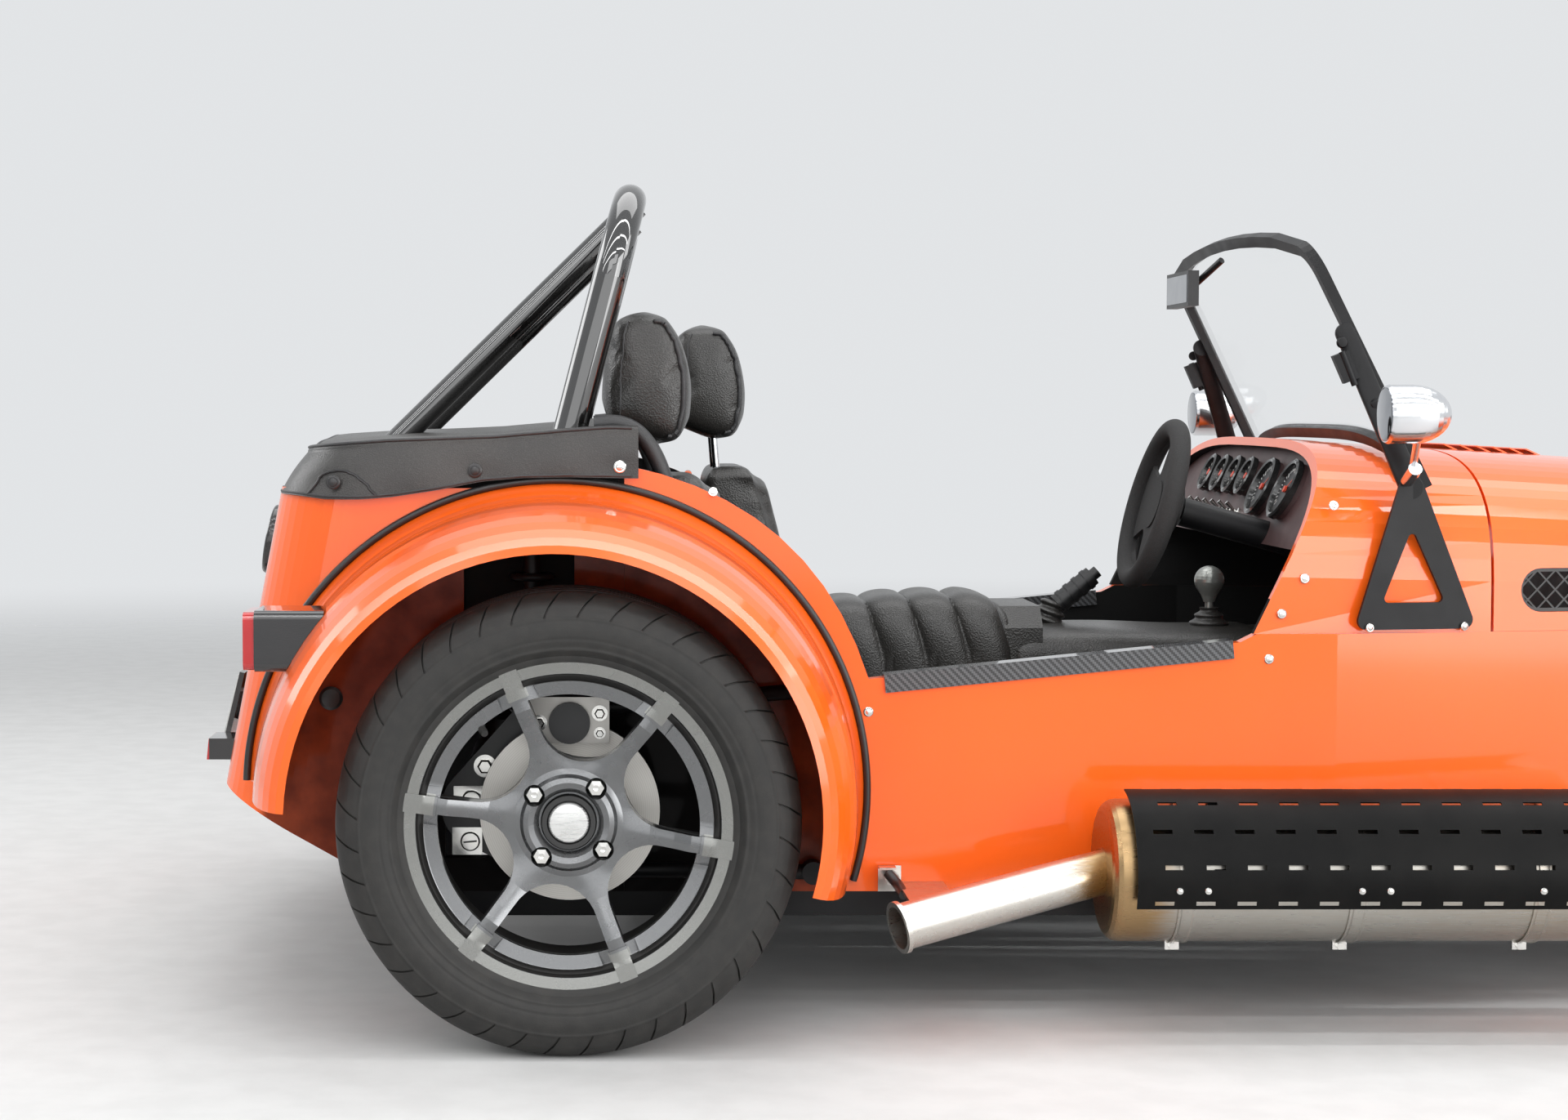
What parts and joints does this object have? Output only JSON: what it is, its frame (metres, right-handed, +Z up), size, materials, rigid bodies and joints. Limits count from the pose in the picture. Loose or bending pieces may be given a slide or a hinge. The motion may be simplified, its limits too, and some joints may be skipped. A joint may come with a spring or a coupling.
{
  "type": "open two-seat sports car",
  "caption": "Lightweight open sports car with clamshell rear wings, cycle front wings, flat windscreen, roll bar and side exhaust; wheels roll and the front pair steers.",
  "frame": {"origin": "on the ground under the middle of the car's length and width", "axes": "+X forward towards the nose, +Y to the car's left, +Z up"},
  "size_m": [3.155, 1.574, 1.098],
  "materials": {
    "paint_orange": "gloss clear coat",
    "steel_black": "satin powder coat",
    "floor_metal": "mill finish, dull",
    "dash_trim": "fine grain",
    "radiator_core": "finned, dull",
    "mesh_black": "satin",
    "screen_glass": "clear",
    "chrome": "polished",
    "cover_fabric": "grained vinyl",
    "seat_leather": "fine grain, stitched",
    "lever_metal": "satin",
    "carbon": "twill weave under clear coat",
    "stainless": "brushed, heat tinted",
    "shield_black": "semi-gloss",
    "cast_alloy": "as cast",
    "lamp_black": "gloss",
    "steering_suede": "suede",
    "tyre_rubber": "matt",
    "wheel_gunmetal": "satin anthracite"
  },
  "bodies": {
    "body": {"chassis_frame": "steel_black", "floor_pan": "floor_metal", "side_panel_right": "paint_orange", "side_panel_left": "paint_orange", "rear_tub": "paint_orange", "rear_wings": "paint_orange", "scuttle": "paint_orange", "dashboard": "dash_trim", "bonnet": "paint_orange", "nose_cone": "paint_orange", "grille": "mesh_black", "radiator": "radiator_core", "windscreen_frame": "steel_black", "windscreen_glass": "screen_glass", "mirrors": "chrome", "roll_bar": "steel_black", "boot_cover": "cover_fabric", "seats": "seat_leather", "headrests": "seat_leather", "tunnel": "seat_leather", "levers": "lever_metal", "steering_column": "steel_black", "sill_guards": "carbon", "exhaust": "stainless", "heat_shield": "shield_black", "engine": "cast_alloy", "driveline": "cast_alloy", "fuel_tank": "floor_metal", "de_dion_axle": "steel_black", "rear_suspension": "steel_black", "front_suspension": "steel_black", "steering_rack": "cast_alloy", "headlamps": "lamp_black", "tail_lamps": "lamp_black", "filler_cap": "lamp_black"},
    "knuckle_right": {"upright_right": "cast_alloy", "front_wing_right": "paint_orange"},
    "knuckle_left": {"upright_left": "cast_alloy", "front_wing_left": "paint_orange"},
    "rack": {"track_rods": "lever_metal"},
    "steering": {"steering_wheel": "steering_suede"},
    "wheel_set_rear_right": {"tyre_rear_right": "tyre_rubber", "wheel_rear_right": "wheel_gunmetal"},
    "wheel_set_rear_left": {"tyre_rear_left": "tyre_rubber", "wheel_rear_left": "wheel_gunmetal"},
    "wheel_set_front_right": {"tyre_front_right": "tyre_rubber", "wheel_front_right": "wheel_gunmetal"},
    "wheel_set_front_left": {"tyre_front_left": "tyre_rubber", "wheel_front_left": "wheel_gunmetal"}
  },
  "joints": [
    {"name": "steer_right", "type": "hinge", "parent": "body", "child": "knuckle_right", "pos_m": [1.1475, -0.555, 0.286], "axis": [0, 0, 1], "range_deg": [-30, 30]},
    {"name": "steer_left", "type": "hinge", "parent": "body", "child": "knuckle_left", "pos_m": [1.1475, 0.555, 0.286], "axis": [0, 0, 1], "range_deg": [-30.5, 30.5]},
    {"name": "rack_slide", "type": "slide", "parent": "body", "child": "rack", "axis": [0, 1, 0], "range_m": [-0.043, 0.043]},
    {"name": "column_turn", "type": "hinge", "parent": "body", "child": "steering", "pos_m": [-0.2675, -0.245, 0.661], "axis": [-0.9632, 0, 0.2689], "range_deg": [-346, 346]},
    {"name": "spin_rear_right", "type": "hinge", "parent": "body", "child": "wheel_set_rear_right", "pos_m": [-1.0775, -0.668, 0.286], "axis": [0, 1, 0], "continuous": true},
    {"name": "spin_rear_left", "type": "hinge", "parent": "body", "child": "wheel_set_rear_left", "pos_m": [-1.0775, 0.668, 0.286], "axis": [0, 1, 0], "continuous": true},
    {"name": "spin_front_right", "type": "hinge", "parent": "knuckle_right", "child": "wheel_set_front_right", "pos_m": [1.1475, -0.635, 0.286], "axis": [0, 1, 0], "continuous": true},
    {"name": "spin_front_left", "type": "hinge", "parent": "knuckle_left", "child": "wheel_set_front_left", "pos_m": [1.1475, 0.635, 0.286], "axis": [0, 1, 0], "continuous": true}
  ],
  "couplings": [
    {"joint": "steer_left", "follows": "steer_right", "ratio": 1},
    {"joint": "rack_slide", "follows": "steer_right", "m_per_rad": 0.08},
    {"joint": "column_turn", "follows": "steer_right", "ratio": 11.5}
  ]
}
